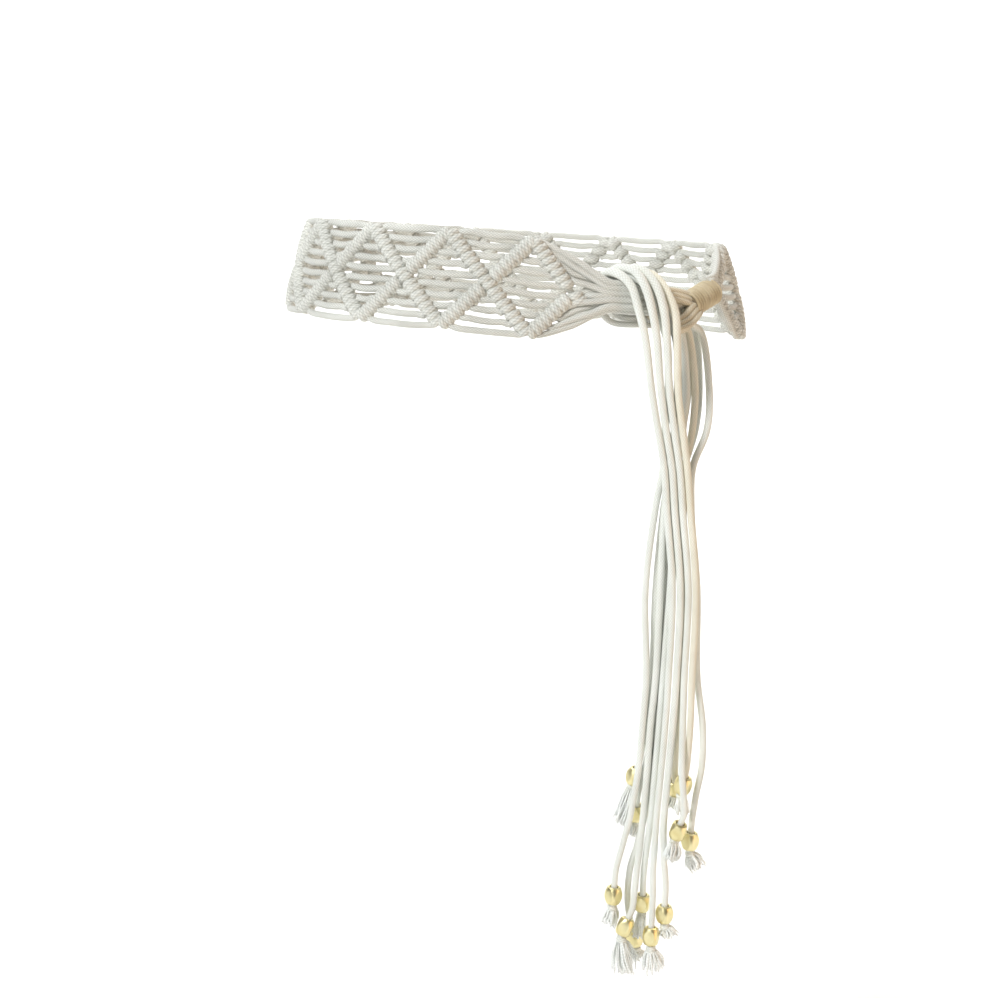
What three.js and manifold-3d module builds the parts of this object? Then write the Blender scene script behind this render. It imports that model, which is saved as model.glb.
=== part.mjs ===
// A macrame belt of braided cotton cord, tied at the front as it is worn.
// Millimetres, +Z up, the front of the wearer towards -Y and the wearer's left towards +X.
// The origin is the middle of the waist loop.
import * as THREE from "three";
import { mergeVertices } from "three/addons/utils/BufferGeometryUtils.js";
import Module from "manifold-3d";

// Cord, and how many corners its section has where
const CORD = 4.5;
const BAND_SIDES = 4;
const FAN_SIDES = 5;
const TAIL_SIDES = 8;
const LOOP_SIDES = 8; // the loop's and the tie's cords lie in one oval strand
const BUNDLE_SIDES = 12;
const WRAP_SIDES = 16;
const GAP = 0.3; // between pieces

// Waist loop: the ellipse that the band's middle surface follows, tilted down at the tie
const HALF_WIDTH = 154;
const HALF_DEPTH = 112;
const TILT = THREE.MathUtils.degToRad(3.6);
// how far the surface leans out for each millimetre down
const FLARE = 0.16;
const FLARE_LEFT = 0.34;
const FLARE_RIGHT = 0.22;
const SAG = 5.3; // how far the band drops towards the tie
const SAG_FROM = -60;
const SAG_SPAN = 100;

// Pattern: crossings and diamonds
const MOTIFS = 13;
const MOTIF = 56;
const LAST_CROSSING = 36; // along the waist from the front middle
const FIRST_CROSSING = LAST_CROSSING - MOTIFS * MOTIF;
const APEX = 28.5; // height of a diamond's corner over its middle
const LEVEL = 6.8; // spacing of the working cords
const WORKING_CORDS_A_SIDE = 4;
const BAR = 8.8; // width and thickness of a bar of hitches
const BAR_ROUNDING = 2;
const BAR_PAST_END = 0.5;
const STRETCH_PAST_CROSSING = 2;
const LAST_CORD_ON_BAR = 0.91; // how far along a bar the outermost cord of a fan meets it

// Tie. Each row is a place along it: s and z on the waist, out from it, then its two sizes,
// the height or thickness first
const WRAP = [
  [118, -3.6, 4.9, 18, 18],
  [143, 5.8, 4.8, 18.5, 18.5],
];
const LOOP = [
  [120.5, -1, 6, 7.5, 9.5],
  [110, 1.4, 5.5, 7.5, 9.5],
  [101, 2, 3, 7.5, 9.5],
  [94.5, -1, -0.6, 7.5, 9.5],
  [91, -7, -1.5, 7.5, 9.5],
  [93.5, -13.5, 1.5, 7.5, 9.5],
  [100, -17.8, 8.8, 7.5, 9.5],
  [109, -14.5, 10.5, 7.5, 9.5],
  [120.5, -6, 8, 7.5, 9.5],
];
const BUNDLE = [
  [58.3, 0.3, 5.2, 22, 10.3],
  [68, 0, 5.6, 21.5, 10.5],
  [78, -0.5, 6.4, 20.5, 10.5],
  [87, -2, 7.6, 17, 10.5],
  [94, -4.5, 7.9, 12.5, 10],
  [98, -6, 6.8, 11.5, 9],
];
const RETURN = { left: 54, right: 85, bottom: -20, top: 9, corner: 12, out: -2.6 };
const RETURN_CORNER_STEPS = 6;

// Cords from the last diamond to the tie: the level each leaves a bar at, then its height 36, 47
// and 58 along the waist, and how far out it ends. The leaders leave from the crossing
const END_FAN = [
  { level: 4.5, heights: [21.5, 15, 8.8], out: 6.6 },
  { level: 3.5, heights: [17, 11, 4.8], out: 6.8 },
  { level: 2.5, heights: [12.5, 9.5, 7.2], out: 3 },
  { level: 1.5, heights: [8, 5.5, 3.2], out: 3 },
  { level: 0, heights: [1.8, 2.2, 0.8], out: 6.9 },
  { level: 0, heights: [-1.8, -0.6, -0.8], out: 3 },
  { level: -1.5, heights: [-6.1, -4.2, -3.2], out: 6.8 },
  { level: -2.5, heights: [-11.5, -8, -4.8], out: 3 },
  { level: -3.5, heights: [-16.2, -11.5, -7.2], out: 6.6 },
  { level: -4.5, heights: [-20.3, -14, -8.8], out: 3.2 },
];
const END_FAN_AT = [36, 47, 58];
const START_FAN = { from: -700, spacing: 1.5, bend: 0.45, outerLayer: 6, leaderLevel: 2, leaderOut: 5 };
const FAN_OUT = 2.5; // how far out both fans' cords pass

// Beads and tassels
const BEAD = { length: 12.4, hole: 5.8, end: 9, middle: 12.5, barrel: 5 };
const BEAD_SIDES = 8;
const TASSEL_SIDES = 8;
const TASSEL_STEPS = [
  // how far along the tassel, and how wide
  [0, 3.2],
  [2.2, 7],
  [5.5, 4.6],
];
const TASSEL_WIDEST = 0.75; // of its length
const TASSEL_TIP = 0.7; // of its width
const TASSEL_DROP = 1.3; // from the bead to the knot
const TAIL_STRAIGHTENS = 0.7; // of a bead's length above its middle

// The tails hang in three layers. Each row holds the points from the tie down as s, z and out on the
// waist, then x and y at the shared heights, the points on to the bead, the bead's middle, and the
// tassel's tip and width
const HEIGHTS = [-34, -70, -97, -121, -148, -202, -263, -298, -327];
const FRONT = [-116, -117.5, -117.5, -117.5, -117.5, -117.5, -117.5, -117.5];
const MIDDLE = [-110.5, -112.2, -112.2, -112.2, -112.2, -112.2, -112.2, -112.2, -112.2];
const LEFT_MIDDLE = [-100.8, -106.3, -110.5, -112.2, -112.2, -112.2];
const LEFT_BACK = [-95.3, -100.5, -105, -107, -107, -107];
const TAILS = [
  {
    over: [[100.5, -6.4, -2.8], [106.6, -15, -3.4]],
    x: [104.9, 108, 104.5, 101, 97, 92.5, 91, 87, 84.5],
    y: [-82, -89.5, ...LEFT_BACK, -99],
    free: [],
    bead: [81.4, -97.5, -339],
    tip: [69.5, -109, -370],
    width: 9,
  },
  {
    over: [[106.3, -6.4, -2.8], [113, -15, -3.5]],
    x: [111.3, 113.7, 109.5, 106, 102, 98, 96, 93, 88],
    y: [-76.3, -87, ...LEFT_BACK, -107],
    free: [[84.5, -107, -339], [83.3, -101.5, -351]],
    bead: [82.5, -97.5, -365.5],
    tip: [79.5, -97, -383],
    width: 9,
  },
  {
    over: [[108.3, -6.4, 2.2], [113.7, -15, 1.6]],
    x: [113.6, 117.5, 115.3, 110.3, 109.3, 110, 109.5, 108, 107.5],
    y: [-81.5, -92.5, ...LEFT_MIDDLE, -110],
    free: [],
    bead: [109, -101.2, -345.5],
    tip: [107.5, -100.5, -362],
    width: 10,
  },
  {
    over: [
      [82.2, 10.9, -2.6], [83, 13.8, 1.4], [86, 15.6, 6.2],
      [89, 11.8, 13.2], [91, 3.3, 20.4], [93.5, -7.5, 23.3],
    ],
    x: [102.2, 103.5, 107.3, 110.6, 113.2, 118, 116.8, 116.3, 114.6],
    y: [...FRONT, -116.6],
    free: [],
    bead: [112.8, -115, -338.7],
    tip: [112.5, -114, -360],
    width: 9,
  },
  {
    over: [
      [72, 10.6, -2.6], [73.1, 15.8, 1.4], [75, 18.8, 6.2],
      [79.2, 17, 12.2], [83.4, 7.4, 20.9], [86.2, -7.1, 23.5],
    ],
    x: [95.5, 98, 101.8, 105.6, 108, 113, 111.6, 111.3, 110.7],
    y: [...FRONT, -123.5],
    free: [[112, -124.5, -343], [113, -123.5, -356]],
    bead: [109.3, -120.5, -369.5],
    tip: [104, -127, -389],
    width: 12,
  },
  {
    over: [[113.8, -6.4, 2.1], [120.3, -15.6, 1.7]],
    x: [122.5, 127.5, 125, 115.6, 114.6, 119.5, 121, 125.5, 125.5],
    y: [-76.5, -88, ...LEFT_MIDDLE, -112.2],
    free: [[122.5, -111, -346.5], [120, -110.5, -366]],
    bead: [119, -110.5, -381],
    tip: [124.5, -110.5, -402],
    width: 12,
  },
  {
    over: [
      [66.8, 10.5, -2.6], [67.3, 13.9, 0.2], [70, 14, 5.9],
      [76, 11.4, 13.3], [80.6, 4, 16.6], [83.8, -6, 16.8],
    ],
    x: [95.6, 97.5, 96, 95, 90.6, 85, 86.5, 84.5, 82.5],
    y: MIDDLE,
    free: [[77, -112.2, -364], [72.5, -112.2, -383], [68, -112.2, -402]],
    bead: [66.5, -112.5, -420],
    tip: [65, -104.5, -446],
    width: 12,
  },
  {
    over: [[102.5, -6.4, 2.2], [107.8, -15, 1.8]],
    x: [108.3, 111.5, 109, 105.2, 103.5, 101.5, 98, 96, 94],
    y: [-86.5, -94.5, ...LEFT_MIDDLE, -112.2],
    free: [[91.5, -112.2, -364], [89.5, -111.5, -383], [87.7, -109, -404]],
    bead: [87.2, -106, -428.5],
    tip: [84.5, -112.5, -453],
    width: 8,
  },
  {
    over: [
      [61.5, 10.4, -2.6], [62.9, 16.7, 1], [65.8, 18.3, 5.5],
      [71.8, 16.8, 14.1], [75.4, 9, 20.2], [78.9, -5.9, 22.5],
    ],
    x: [89, 92.4, 96.5, 100.5, 102.8, 107.6, 106.3, 104.5, 102.5],
    y: [...FRONT, -117.5],
    free: [[99.8, -117.5, -368], [100.5, -117.5, -392], [102, -117.5, -410]],
    bead: [101.5, -117.5, -431.5],
    tip: [105, -117.5, -449],
    width: 12,
  },
  {
    over: [
      [77, 10.5, -2.6], [77.6, 13.2, 0.2], [80, 13.2, 6.2],
      [83.6, 10.3, 12.6], [87.3, 3.4, 16.1], [89.4, -6, 17.1],
    ],
    x: [101.7, 103.5, 102, 100.2, 96.8, 95, 93, 90, 88.5],
    y: MIDDLE,
    free: [[86, -112.2, -364], [84.5, -112.2, -383], [82.5, -112.2, -402], [79.5, -114.5, -430]],
    bead: [74.5, -117, -441.5],
    tip: [77, -117, -477],
    width: 18,
  },
  {
    over: [[112.3, -6.4, -3.2], [120.2, -15.6, -4]],
    x: [118.8, 121.5, 118, 111, 107, 103.2, 101.5, 98, 93],
    y: [-71, -83, ...LEFT_BACK, -107],
    free: [[88.5, -107, -359.5], [83, -107, -385.5], [78.5, -104, -404.5], [77.5, -101.5, -432]],
    bead: [82.5, -101.5, -457],
    tip: [85.5, -101.5, -473],
    width: 10,
  },
  {
    over: [
      [55.8, 10.6, -2.6], [57, 14.4, 1.2], [59.7, 15.3, 5.4],
      [64.8, 13.2, 11], [69.5, 7, 15], [72.9, -6.4, 16.8],
    ],
    x: [81.5, 86.5, 91.3, 95.5, 97.6, 102.4, 101, 99.4, 97.4],
    y: [...FRONT, -117.5],
    free: [[94.8, -117.5, -362], [94, -117.5, -381], [93.2, -117.5, -400], [93.2, -118.5, -421]],
    bead: [92, -122, -445.7],
    tip: [95, -121, -472],
    width: 15,
  },
];

const wasm = await Module();
wasm.setup();

const waist = new THREE.EllipseCurve(0, 0, HALF_WIDTH, HALF_DEPTH, -Math.PI / 2, 1.5 * Math.PI);
waist.arcLengthDivisions = 1440;
const WAIST_LENGTH = waist.getLength();

// How far the band's middle line hangs below the loop's own plane
function sag(s) {
  const t = Math.max(0, (Math.min(s, LAST_CROSSING) - SAG_FROM) / SAG_SPAN);
  return SAG * t * t;
}

// A point on the waist: s along the loop from the front middle, z up, out away from the body
function onWaist(s, z, out = 0) {
  const u = THREE.MathUtils.euclideanModulo(s / WAIST_LENGTH, 1);
  const p = waist.getPointAt(u);
  const t = waist.getTangentAt(u);
  const flare = THREE.MathUtils.lerp(FLARE, p.x > 0 ? FLARE_LEFT : FLARE_RIGHT, (p.x / HALF_WIDTH) ** 2);
  const reach = out - flare * z;
  return new THREE.Vector3(p.x + t.y * reach, p.y - t.x * reach, z - sag(s));
}

// A polygon with the area of a round cord's section
function section(diameter, sides) {
  const turn = (2 * Math.PI) / sides;
  const radius = (diameter / 2) * Math.sqrt(turn / Math.sin(turn));
  const corners = [];
  for (let i = 0; i < sides; i++) {
    const a = turn * (i + 0.5);
    corners.push(new THREE.Vector2(radius * Math.cos(a), radius * Math.sin(a)));
  }
  return new THREE.Shape(corners);
}

// A round cord through the points, with a ring at each of them and rings between, if asked
function tube(points, diameter, sides, ringsBetween = 0) {
  const path =
    points.length === 2
      ? new THREE.LineCurve3(points[0], points[1])
      : new THREE.CatmullRomCurve3(points, false, "centripetal");
  path.getUtoTmapping = (u) => u;
  return new THREE.ExtrudeGeometry(section(diameter, sides), {
    steps: (points.length - 1) * (ringsBetween + 1),
    extrudePath: path,
    curveSegments: 1,
  });
}

function solid(geometry) {
  const bare = geometry.index ? geometry.toNonIndexed() : geometry.clone();
  bare.deleteAttribute("normal");
  bare.deleteAttribute("uv");
  const merged = mergeVertices(bare, 1e-4);
  return new wasm.Manifold(
    new wasm.Mesh({
      numProp: 3,
      vertProperties: new Float32Array(merged.attributes.position.array),
      triVerts: new Uint32Array(merged.index.array),
    }),
  );
}

function geometryOf(manifold) {
  const mesh = manifold.getMesh();
  const geometry = new THREE.BufferGeometry();
  geometry.setAttribute("position", new THREE.BufferAttribute(mesh.vertProperties, 3));
  geometry.setIndex(new THREE.BufferAttribute(mesh.triVerts, 1));
  geometry.computeVertexNormals();
  return geometry;
}

const joined = (solids) => solids.reduce((all, next) => all.add(next));

const gold = () => new THREE.MeshStandardMaterial({ color: 0xd9bf6e, roughness: 0.35, metalness: 1 });
const cotton = () => new THREE.MeshStandardMaterial({ color: 0xe4e6dc, roughness: 0.95, metalness: 0 });

const worn = new THREE.Group();
const band = new THREE.Group();
band.rotation.y = TILT;
worn.add(band);

function addMesh(group, name, geometry, material) {
  const mesh = new THREE.Mesh(geometry, material);
  mesh.name = name;
  group.add(mesh);
  return mesh;
}

// A straight unit extrusion whose points are moved one by one
function shaped(outline, steps, place) {
  const geometry = new THREE.ExtrudeGeometry(outline, {
    depth: 1,
    steps,
    bevelEnabled: false,
    curveSegments: RETURN_CORNER_STEPS,
  });
  const position = geometry.attributes.position;
  const point = new THREE.Vector3();
  for (let i = 0; i < position.count; i++) {
    position.setXYZ(i, ...place(point.fromBufferAttribute(position, i)));
  }
  return geometry;
}

// An oval solid through rows of s, z, out and its two sizes: the first along the upright, the second
// square to it
function oval(rows, upright, sides, stepsPerRow, grow) {
  const points = rows.map(([s, z, out]) => onWaist(s, z, out));
  const path = new THREE.CatmullRomCurve3(points, false, "centripetal");
  const last = rows.length - 1;
  const sizeAt = (t, column) => {
    const row = Math.min(Math.floor(t * last), last - 1);
    return THREE.MathUtils.lerp(rows[row][column], rows[row + 1][column], t * last - row) / 2 + grow;
  };
  return shaped(section(2, sides), stepsPerRow * last, ({ x, y, z: t }) => {
    const along = path.getTangent(t);
    const up = upright.clone().addScaledVector(along, -upright.dot(along)).normalize();
    const across = new THREE.Vector3().crossVectors(along, up);
    return path
      .getPoint(t)
      .addScaledVector(along, (2 * t - 1) * grow)
      .addScaledVector(up, x * sizeAt(t, 3))
      .addScaledVector(across, y * sizeAt(t, 4));
  });
}

// One stretch of working cord at one level, its ends inside the bars it joins
function cordStretch(from, to, z, steps) {
  const points = [];
  for (let i = 0; i <= steps; i++) points.push(onWaist(from + ((to - from) * i) / steps, z));
  return solid(tube(points, CORD, BAND_SIDES));
}

// A bar of hitches from a crossing to a diamond's corner: straight, its outer edges rounded off
function bar(crossing, corner, side, grow = 0) {
  const start = onWaist(crossing, 0);
  const end = onWaist(corner, side * APEX);
  const along = end.clone().sub(start).normalize();
  const middle = (crossing + corner) / 2;
  const outward = onWaist(middle, 0, 1).sub(onWaist(middle, 0));
  const across = new THREE.Vector3().crossVectors(outward, along).normalize();
  outward.crossVectors(along, across);
  const half = BAR / 2 + grow;
  const shoulder = half - BAR_ROUNDING;
  const pastEnd = BAR_PAST_END + grow;
  const outline = new THREE.Shape([
    new THREE.Vector2(-half, -half),
    new THREE.Vector2(half, -half),
    new THREE.Vector2(half, shoulder),
    new THREE.Vector2(shoulder, half),
    new THREE.Vector2(-shoulder, half),
    new THREE.Vector2(-half, shoulder),
  ]);
  const depth = start.distanceTo(end) + 2 * pastEnd;
  const geometry = new THREE.ExtrudeGeometry(outline, { depth, bevelEnabled: false });
  geometry.translate(0, 0, -pastEnd);
  geometry.applyMatrix4(new THREE.Matrix4().makeBasis(across, outward, along).setPosition(start));
  return solid(geometry);
}

// The wedge of space from one place along the waist to another, well past the band in height and depth
function motifSpace(from, to) {
  const reach = 5 * CORD;
  const inside = [onWaist(from, 0, -reach), onWaist(to, 0, -reach)];
  const outside = [onWaist(to, 0, reach), onWaist(from, 0, reach)];
  const corners = [...inside, ...outside].map((p) => new THREE.Vector2(p.x, p.y));
  const depth = 4 * APEX;
  const geometry = new THREE.ExtrudeGeometry(new THREE.Shape(corners), { depth, bevelEnabled: false });
  geometry.translate(0, 0, -depth / 2);
  return solid(geometry);
}

// One diamond. Its outer cords run to the next diamonds, and fan out at the band's two ends
function diamond(number) {
  const from = FIRST_CROSSING + (number - 1) * MOTIF;
  const half = MOTIF / 2;
  const parts = [];
  for (const side of [-1, 1]) {
    parts.push(bar(from, from + half, side));
    parts.push(bar(from + MOTIF, from + half, side));
    for (let j = 1; j <= WORKING_CORDS_A_SIDE; j++) {
      const outer = LEVEL * (j + 0.5);
      const inner = LEVEL * (j - 0.5);
      const outerEnd = half * Math.min(1, outer / APEX);
      const innerEnd = (half * inner) / APEX;
      const to = from + MOTIF;
      if (number > 1) {
        parts.push(cordStretch(from - STRETCH_PAST_CROSSING, from + outerEnd, side * outer, 1));
      }
      parts.push(cordStretch(from + innerEnd, to - innerEnd, side * inner, j < 3 ? 2 : 1));
      if (number < MOTIFS) {
        parts.push(cordStretch(to - outerEnd, to + STRETCH_PAST_CROSSING, side * outer, 1));
      }
    }
  }
  return joined(parts).intersect(motifSpace(from + GAP / 2, from + MOTIF - GAP / 2));
}

const upwards = new THREE.Vector3(0, 0, 1);
const outwards = onWaist(100, 0, 1).sub(onWaist(100, 0, 0));
const wrap = (grow) => oval(WRAP, upwards, WRAP_SIDES, 1, grow);
const wrapSpace = solid(wrap(GAP));

// The cords spread from two layers in the wrap to the first diamond's bars
function startFan() {
  const { from, spacing, bend, outerLayer, leaderLevel, leaderOut } = START_FAN;
  const cords = [];
  for (const side of [-1, 1]) {
    for (let j = 1; j <= WORKING_CORDS_A_SIDE; j++) {
      const level = LEVEL * (j + 0.5);
      const low = spacing * j;
      const end = FIRST_CROSSING + (MOTIF / 2) * Math.min(LAST_CORD_ON_BAR, level / APEX);
      const points = [
        onWaist(from, side * low, j % 2 ? outerLayer : FAN_OUT),
        onWaist(THREE.MathUtils.lerp(from, end, bend), (side * (low + level)) / 2, FAN_OUT),
        onWaist(end, side * level),
      ];
      cords.push(solid(tube(points, CORD, FAN_SIDES, 1)));
    }
    const z = side * leaderLevel;
    cords.push(solid(tube([onWaist(from, z, leaderOut), onWaist(FIRST_CROSSING, z)], CORD, FAN_SIDES)));
  }
  const bars = [-1, 1].map((side) => bar(FIRST_CROSSING, FIRST_CROSSING + MOTIF / 2, side, GAP));
  return joined(cords).subtract(joined(bars)).subtract(wrapSpace);
}

// All the cords side by side where the tie crosses them
const bundle = (grow) => solid(oval(BUNDLE, upwards, BUNDLE_SIDES, 2, grow));

// The cords close in from the last diamond's bars to the tie
function endFan() {
  const cords = END_FAN.map(({ level, heights, out }) => {
    const reaches = [0, FAN_OUT, out];
    const points = heights.map((z, i) => onWaist(END_FAN_AT[i], z, reaches[i]));
    const leaves = (MOTIF / 2) * Math.min(LAST_CORD_ON_BAR, Math.abs(level * LEVEL) / APEX);
    if (level !== 0) points.unshift(onWaist(LAST_CROSSING - leaves, level * LEVEL));
    return solid(tube(points, CORD, FAN_SIDES, 1));
  });
  const bars = [-1, 1].map((side) => bar(LAST_CROSSING, LAST_CROSSING - MOTIF / 2, side, GAP));
  return joined(cords).subtract(joined(bars)).subtract(bundle(GAP));
}

// The folded middles of the cords, in a loop with an open eye, as two strands that share the turn
function endLoop(grow) {
  const upper = oval(LOOP.slice(0, 6), outwards, LOOP_SIDES, 2, grow);
  const lower = oval(LOOP.slice(4), outwards, LOOP_SIDES, 2, grow);
  return solid(upper).add(solid(lower));
}

// The flat turn of half the cords behind the tie
function tieReturn() {
  const { left, right, bottom, top, corner, out } = RETURN;
  const outline = new THREE.Shape();
  outline.moveTo(right, top);
  outline.lineTo(left, top);
  outline.lineTo(left, bottom + corner);
  outline.absarc(left + corner, bottom + corner, corner, Math.PI, 1.5 * Math.PI, false);
  outline.lineTo(right, bottom);
  return shaped(outline, 1, ({ x, y, z: t }) => onWaist(x, y, out + CORD * (t - 0.5)));
}

for (let number = 1; number <= MOTIFS; number++) {
  addMesh(band, `band_diamond_${String(number).padStart(2, "0")}`, geometryOf(diamond(number)), cotton());
}
addMesh(band, "start_fan", geometryOf(startFan()), cotton());
addMesh(band, "gathering_wrap", wrap(0), cotton());
addMesh(band, "end_loop", geometryOf(endLoop(0).subtract(wrapSpace)), cotton());
addMesh(band, "end_fan", geometryOf(endFan()), cotton());
addMesh(band, "tie_bundle", geometryOf(bundle(0).subtract(endLoop(GAP))), cotton());
addMesh(band, "tie_return", tieReturn(), cotton());

// A tail from the tie through its bead, the bead on it, and the knot and tassel below the bead
TAILS.forEach(({ over, x, y, free, bead, tip, width }, i) => {
  const number = String(i + 1).padStart(2, "0");
  const route = [
    ...over.map(([s, z, out]) => onWaist(s, z, out).applyAxisAngle(band.up, TILT)),
    ...x.map((across, k) => new THREE.Vector3(across, y[k], HEIGHTS[k])),
    ...free.map((p) => new THREE.Vector3(...p)),
  ];
  const middle = new THREE.Vector3(...bead);
  const down = middle.clone().sub(route.at(-1)).normalize();
  const below = middle.clone().addScaledVector(down, BEAD.length / 2);
  route.push(middle.clone().addScaledVector(down, -BEAD.length * TAIL_STRAIGHTENS), middle, below);
  addMesh(worn, `tail_${number}`, tube(route, CORD, TAIL_SIDES), cotton());

  const barrel = [
    [BEAD.hole, BEAD.length],
    [BEAD.hole, -BEAD.length],
    [BEAD.end, -BEAD.length],
    [BEAD.middle, -BEAD.barrel],
    [BEAD.middle, BEAD.barrel],
    [BEAD.end, BEAD.length],
    [BEAD.hole, BEAD.length],
  ].map(([diameter, height]) => new THREE.Vector2(diameter / 2, height / 2));
  const beadMesh = addMesh(worn, `bead_${number}`, new THREE.LatheGeometry(barrel, BEAD_SIDES), gold());
  beadMesh.position.copy(middle);
  beadMesh.quaternion.setFromUnitVectors(new THREE.Vector3(0, -1, 0), down);

  const top = below.addScaledVector(down, TASSEL_DROP);
  const hang = new THREE.Vector3(...tip).sub(top);
  const length = hang.length();
  const rings = [...TASSEL_STEPS, [TASSEL_WIDEST * length, width], [length, TASSEL_TIP * width]];
  const outline = rings.map(([at, across]) => new THREE.Vector2(across / 2, -at));
  outline.unshift(new THREE.Vector2(0, 0));
  outline.push(new THREE.Vector2(0, -length));
  const tassel = new THREE.LatheGeometry(outline.reverse(), TASSEL_SIDES);
  const tasselMesh = addMesh(worn, `tassel_${number}`, tassel, cotton());
  tasselMesh.position.copy(top);
  tasselMesh.quaternion.setFromUnitVectors(new THREE.Vector3(0, -1, 0), hang.normalize());
});

export default worn;
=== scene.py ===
import math
import random

import bmesh
import bpy
import numpy as np
from mathutils import Matrix, Vector


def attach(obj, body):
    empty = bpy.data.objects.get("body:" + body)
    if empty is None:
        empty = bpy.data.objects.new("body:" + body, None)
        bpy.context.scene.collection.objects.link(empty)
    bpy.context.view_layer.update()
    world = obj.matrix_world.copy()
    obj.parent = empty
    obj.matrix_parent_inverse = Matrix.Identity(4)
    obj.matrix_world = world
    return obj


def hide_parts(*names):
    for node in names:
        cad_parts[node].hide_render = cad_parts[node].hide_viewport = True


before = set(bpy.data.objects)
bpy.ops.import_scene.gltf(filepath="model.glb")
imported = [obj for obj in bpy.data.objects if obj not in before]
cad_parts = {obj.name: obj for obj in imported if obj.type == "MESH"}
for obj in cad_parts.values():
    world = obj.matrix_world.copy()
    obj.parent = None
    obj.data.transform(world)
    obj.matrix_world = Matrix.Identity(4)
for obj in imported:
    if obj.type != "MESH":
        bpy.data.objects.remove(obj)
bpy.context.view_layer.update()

# Camera
# A little above the belt and in front of it, on a short telephoto lens.
camera = bpy.data.objects.new("camera", bpy.data.cameras.new("camera"))
camera.data.lens = 54.8
camera.data.sensor_width = 36.0
camera.location = (-0.012, -1.1, 0.04)
camera.rotation_euler = (math.radians(90 - 10.4), 0, 0)
bpy.context.collection.objects.link(camera)
bpy.context.scene.camera = camera

# The waist
# The oval that the belt lies on, tilted down towards the tie. Every piece of the belt is laid out on
# it, in millimetres: s along it from the front middle, z up it and out away from its centre.
MM = 0.001
HALF_WIDTH, HALF_DEPTH = 154, 112
TILT = math.radians(3.6)
# outwards for each millimetre down, in front and at the two sides
FLARE, FLARE_LEFT, FLARE_RIGHT = 0.16, 0.34, 0.22
# the weight of the tails pulls the band down from SAG_FROM to SAG_TO along it
SAG, SAG_FROM, SAG_SPAN, SAG_TO = 5.3, -60, 100, 36
TURN_POINTS = 1441  # one every quarter of a degree
turn = np.linspace(-math.pi / 2, 1.5 * math.pi, TURN_POINTS)
turn_x, turn_y = HALF_WIDTH * np.cos(turn), HALF_DEPTH * np.sin(turn)
turn_s = np.concatenate([[0], np.cumsum(np.hypot(np.diff(turn_x), np.diff(turn_y)))])


def on_waist(s, z, out=0.0):
    """The point at s, z and out on the waist, in metres."""
    angle = float(np.interp(s % turn_s[-1], turn_s, turn))
    x, y = HALF_WIDTH * math.cos(angle), HALF_DEPTH * math.sin(angle)
    outward = Vector((x / HALF_WIDTH**2, y / HALF_DEPTH**2)).normalized()
    flare = FLARE + ((FLARE_LEFT if x > 0 else FLARE_RIGHT) - FLARE) * (x / HALF_WIDTH) ** 2
    reach = out - flare * z
    sag = SAG * max(0.0, (min(s, SAG_TO) - SAG_FROM) / SAG_SPAN) ** 2
    point = Vector((x + outward.x * reach, y + outward.y * reach, z - sag))
    return Matrix.Rotation(TILT, 3, "Y") @ point * MM


# The cord
# Braided cotton macrame cord, round and soft, 4.5 mm thick at rest. Each length of it is a route of
# points with a radius, smoothed and swept as one tube whose UV map runs in metres along the cord.
CORD = 4.5
CORD_SIDES = 10
STITCH_SHIFT = 0.0137  # in metres, so that the stitches of neighbouring cords don't line up


def smooth(points, step):
    """Points of a centripetal curve through rows of numbers, no further apart than step."""
    rows = [np.array(p, float) for p in points]
    rows = [2 * rows[0] - rows[1], *rows, 2 * rows[-1] - rows[-2]]
    result = []
    for a, b, c, d in zip(rows, rows[1:], rows[2:], rows[3:]):
        t = [0.0]
        for p, q in ((a, b), (b, c), (c, d)):
            t.append(t[-1] + max(1e-6, float(np.linalg.norm((q - p)[:3]))) ** 0.5)
        pieces = max(1, round(float(np.linalg.norm((c - b)[:3])) / step))
        for i in range(pieces):
            x = t[1] + (t[2] - t[1]) * i / pieces
            ab = a + (b - a) * (x - t[0]) / (t[1] - t[0])
            bc = b + (c - b) * (x - t[1]) / (t[2] - t[1])
            cd = c + (d - c) * (x - t[2]) / (t[3] - t[2])
            abc = ab + (bc - ab) * (x - t[0]) / (t[2] - t[0])
            bcd = bc + (cd - bc) * (x - t[1]) / (t[3] - t[1])
            result.append(abc + (bcd - abc) * (x - t[1]) / (t[2] - t[1]))
    result.append(rows[-2])
    return result


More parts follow.
